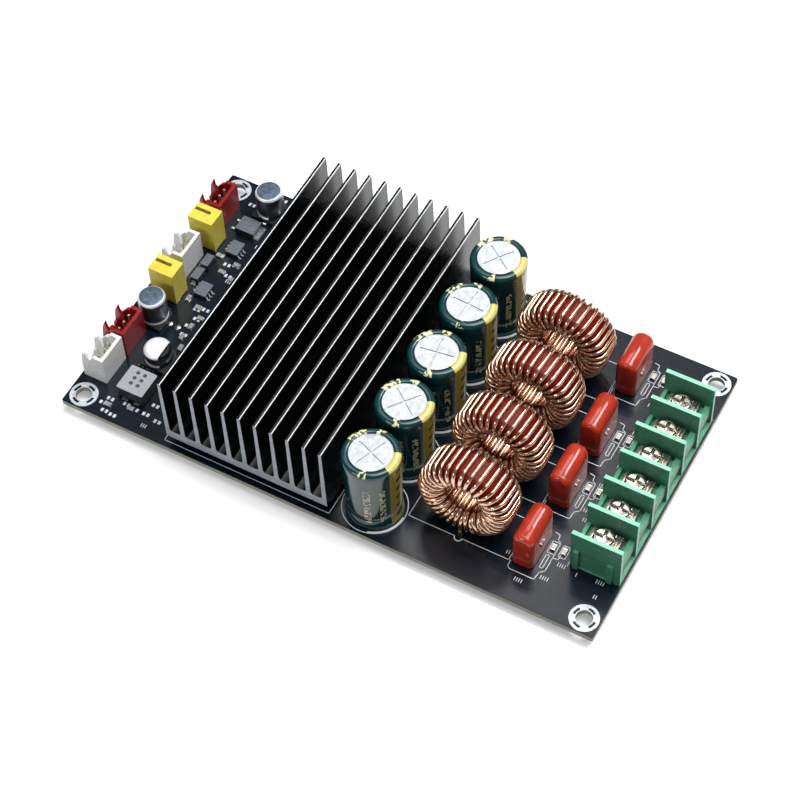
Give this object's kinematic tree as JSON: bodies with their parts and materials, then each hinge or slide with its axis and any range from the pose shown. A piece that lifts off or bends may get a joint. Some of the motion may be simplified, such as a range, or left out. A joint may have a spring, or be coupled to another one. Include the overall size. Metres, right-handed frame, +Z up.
{
  "type": "amplifier board",
  "caption": "Audio power amplifier circuit board with a finned heatsink, bulk capacitors, wound toroidal inductors, film capacitors, plug headers and a screw terminal strip.",
  "frame": {"origin": "centre of the four mounting holes, at the board's underside", "axes": "+X along the board towards the screw terminals, +Y towards its back edge, +Z up, away from the underside"},
  "size_m": [0.162, 0.0916, 0.0316],
  "materials": {
    "board_laminate": "glossy dark solder mask on glass fibre laminate",
    "black_anodised": "black anodised, bright sawn ends",
    "nickel_steel": "nickel plated",
    "tinned_copper": "tin plated",
    "thermal_silicone": "soft matte pad",
    "chip_epoxy": "moulded, fine matte",
    "can_aluminium": "drawn, satin",
    "sleeve_film": "shrunk film, glossy, with a pale yellow stripe",
    "bung_rubber": "matte",
    "core_coating": "powder coated iron powder ring",
    "enamelled_copper": "clear enamel on copper, glossy",
    "red_epoxy": "dipped, glossy",
    "green_moulding": "moulded, satin",
    "contact_brass": "tin plated brass",
    "clamp_steel": "nickel plated",
    "white_moulding": "moulded, satin",
    "red_moulding": "moulded, satin",
    "yellow_moulding": "moulded box, satin",
    "pin_gold": "thin gold flash",
    "smd_can": "drawn, satin",
    "ferrite_cover": "moulded, fine matte",
    "ceramic_chip": "fired, matte",
    "solder": "smooth fillets"
  },
  "bodies": {
    "board": {"pcb": "board_laminate", "heatsink": "black_anodised", "heatsink_spacers": "nickel_steel", "heatsink_screws": "nickel_steel", "thermal_pad": "thermal_silicone", "amplifier_chip": "chip_epoxy", "amplifier_chip_leads": "tinned_copper", "bulk_cap_can_1": "can_aluminium", "bulk_cap_can_2": "can_aluminium", "bulk_cap_can_3": "can_aluminium", "bulk_cap_can_4": "can_aluminium", "bulk_cap_can_5": "can_aluminium", "bulk_cap_sleeve_1": "sleeve_film", "bulk_cap_sleeve_2": "sleeve_film", "bulk_cap_sleeve_3": "sleeve_film", "bulk_cap_sleeve_4": "sleeve_film", "bulk_cap_sleeve_5": "sleeve_film", "bulk_cap_bungs": "bung_rubber", "bulk_cap_leads": "tinned_copper", "inductor_core_1": "core_coating", "inductor_core_2": "core_coating", "inductor_core_3": "core_coating", "inductor_core_4": "core_coating", "inductor_winding_1": "enamelled_copper", "inductor_winding_2": "enamelled_copper", "inductor_winding_3": "enamelled_copper", "inductor_winding_4": "enamelled_copper", "film_cap_1": "red_epoxy", "film_cap_2": "red_epoxy", "film_cap_3": "red_epoxy", "film_cap_4": "red_epoxy", "film_cap_leads": "tinned_copper", "terminal_housing": "green_moulding", "terminal_contacts": "contact_brass", "header_1": "white_moulding", "header_2": "red_moulding", "header_3": "white_moulding", "header_4": "red_moulding", "header_pins": "pin_gold", "box_cap_1": "yellow_moulding", "box_cap_2": "yellow_moulding", "smd_capacitor_cans": "smd_can", "smd_capacitor_bases": "chip_epoxy", "power_inductor": "ferrite_cover", "small_chips": "chip_epoxy", "chip_resistors": "ceramic_chip", "smd_terminals": "tinned_copper", "solder_joints": "solder"},
    "clamp_1": {"terminal_clamp_1": "clamp_steel"},
    "screw_1": {"terminal_screw_1": "nickel_steel"},
    "clamp_2": {"terminal_clamp_2": "clamp_steel"},
    "screw_2": {"terminal_screw_2": "nickel_steel"},
    "clamp_3": {"terminal_clamp_3": "clamp_steel"},
    "screw_3": {"terminal_screw_3": "nickel_steel"},
    "clamp_4": {"terminal_clamp_4": "clamp_steel"},
    "screw_4": {"terminal_screw_4": "nickel_steel"},
    "clamp_5": {"terminal_clamp_5": "clamp_steel"},
    "screw_5": {"terminal_screw_5": "nickel_steel"},
    "clamp_6": {"terminal_clamp_6": "clamp_steel"},
    "screw_6": {"terminal_screw_6": "nickel_steel"}
  },
  "joints": [
    {"name": "clamp_lift_1", "type": "slide", "parent": "board", "child": "clamp_1", "axis": [0, 0, 1], "range_m": [0, 0.0025]},
    {"name": "screw_turn_1", "type": "hinge", "parent": "clamp_1", "child": "screw_1", "pos_m": [0.073, -0.02345, 0.0106], "axis": [0, 0, 1], "range_deg": [0, 1800.1]},
    {"name": "clamp_lift_2", "type": "slide", "parent": "board", "child": "clamp_2", "axis": [0, 0, 1], "range_m": [0, 0.0025]},
    {"name": "screw_turn_2", "type": "hinge", "parent": "clamp_2", "child": "screw_2", "pos_m": [0.073, -0.01395, 0.0106], "axis": [0, 0, 1], "range_deg": [0, 1800.1]},
    {"name": "clamp_lift_3", "type": "slide", "parent": "board", "child": "clamp_3", "axis": [0, 0, 1], "range_m": [0, 0.0025]},
    {"name": "screw_turn_3", "type": "hinge", "parent": "clamp_3", "child": "screw_3", "pos_m": [0.073, -0.00445, 0.0106], "axis": [0, 0, 1], "range_deg": [0, 1800.1]},
    {"name": "clamp_lift_4", "type": "slide", "parent": "board", "child": "clamp_4", "axis": [0, 0, 1], "range_m": [0, 0.0025]},
    {"name": "screw_turn_4", "type": "hinge", "parent": "clamp_4", "child": "screw_4", "pos_m": [0.073, 0.00505, 0.0106], "axis": [0, 0, 1], "range_deg": [0, 1800.1]},
    {"name": "clamp_lift_5", "type": "slide", "parent": "board", "child": "clamp_5", "axis": [0, 0, 1], "range_m": [0, 0.0025]},
    {"name": "screw_turn_5", "type": "hinge", "parent": "clamp_5", "child": "screw_5", "pos_m": [0.073, 0.01455, 0.0106], "axis": [0, 0, 1], "range_deg": [0, 1800.1]},
    {"name": "clamp_lift_6", "type": "slide", "parent": "board", "child": "clamp_6", "axis": [0, 0, 1], "range_m": [0, 0.0025]},
    {"name": "screw_turn_6", "type": "hinge", "parent": "clamp_6", "child": "screw_6", "pos_m": [0.073, 0.02405, 0.0106], "axis": [0, 0, 1], "range_deg": [0, 1800.1]}
  ],
  "couplings": [
    {"joint": "screw_turn_1", "follows": "clamp_lift_1", "rad_per_m": 12566},
    {"joint": "screw_turn_2", "follows": "clamp_lift_2", "rad_per_m": 12566},
    {"joint": "screw_turn_3", "follows": "clamp_lift_3", "rad_per_m": 12566},
    {"joint": "screw_turn_4", "follows": "clamp_lift_4", "rad_per_m": 12566},
    {"joint": "screw_turn_5", "follows": "clamp_lift_5", "rad_per_m": 12566},
    {"joint": "screw_turn_6", "follows": "clamp_lift_6", "rad_per_m": 12566}
  ]
}
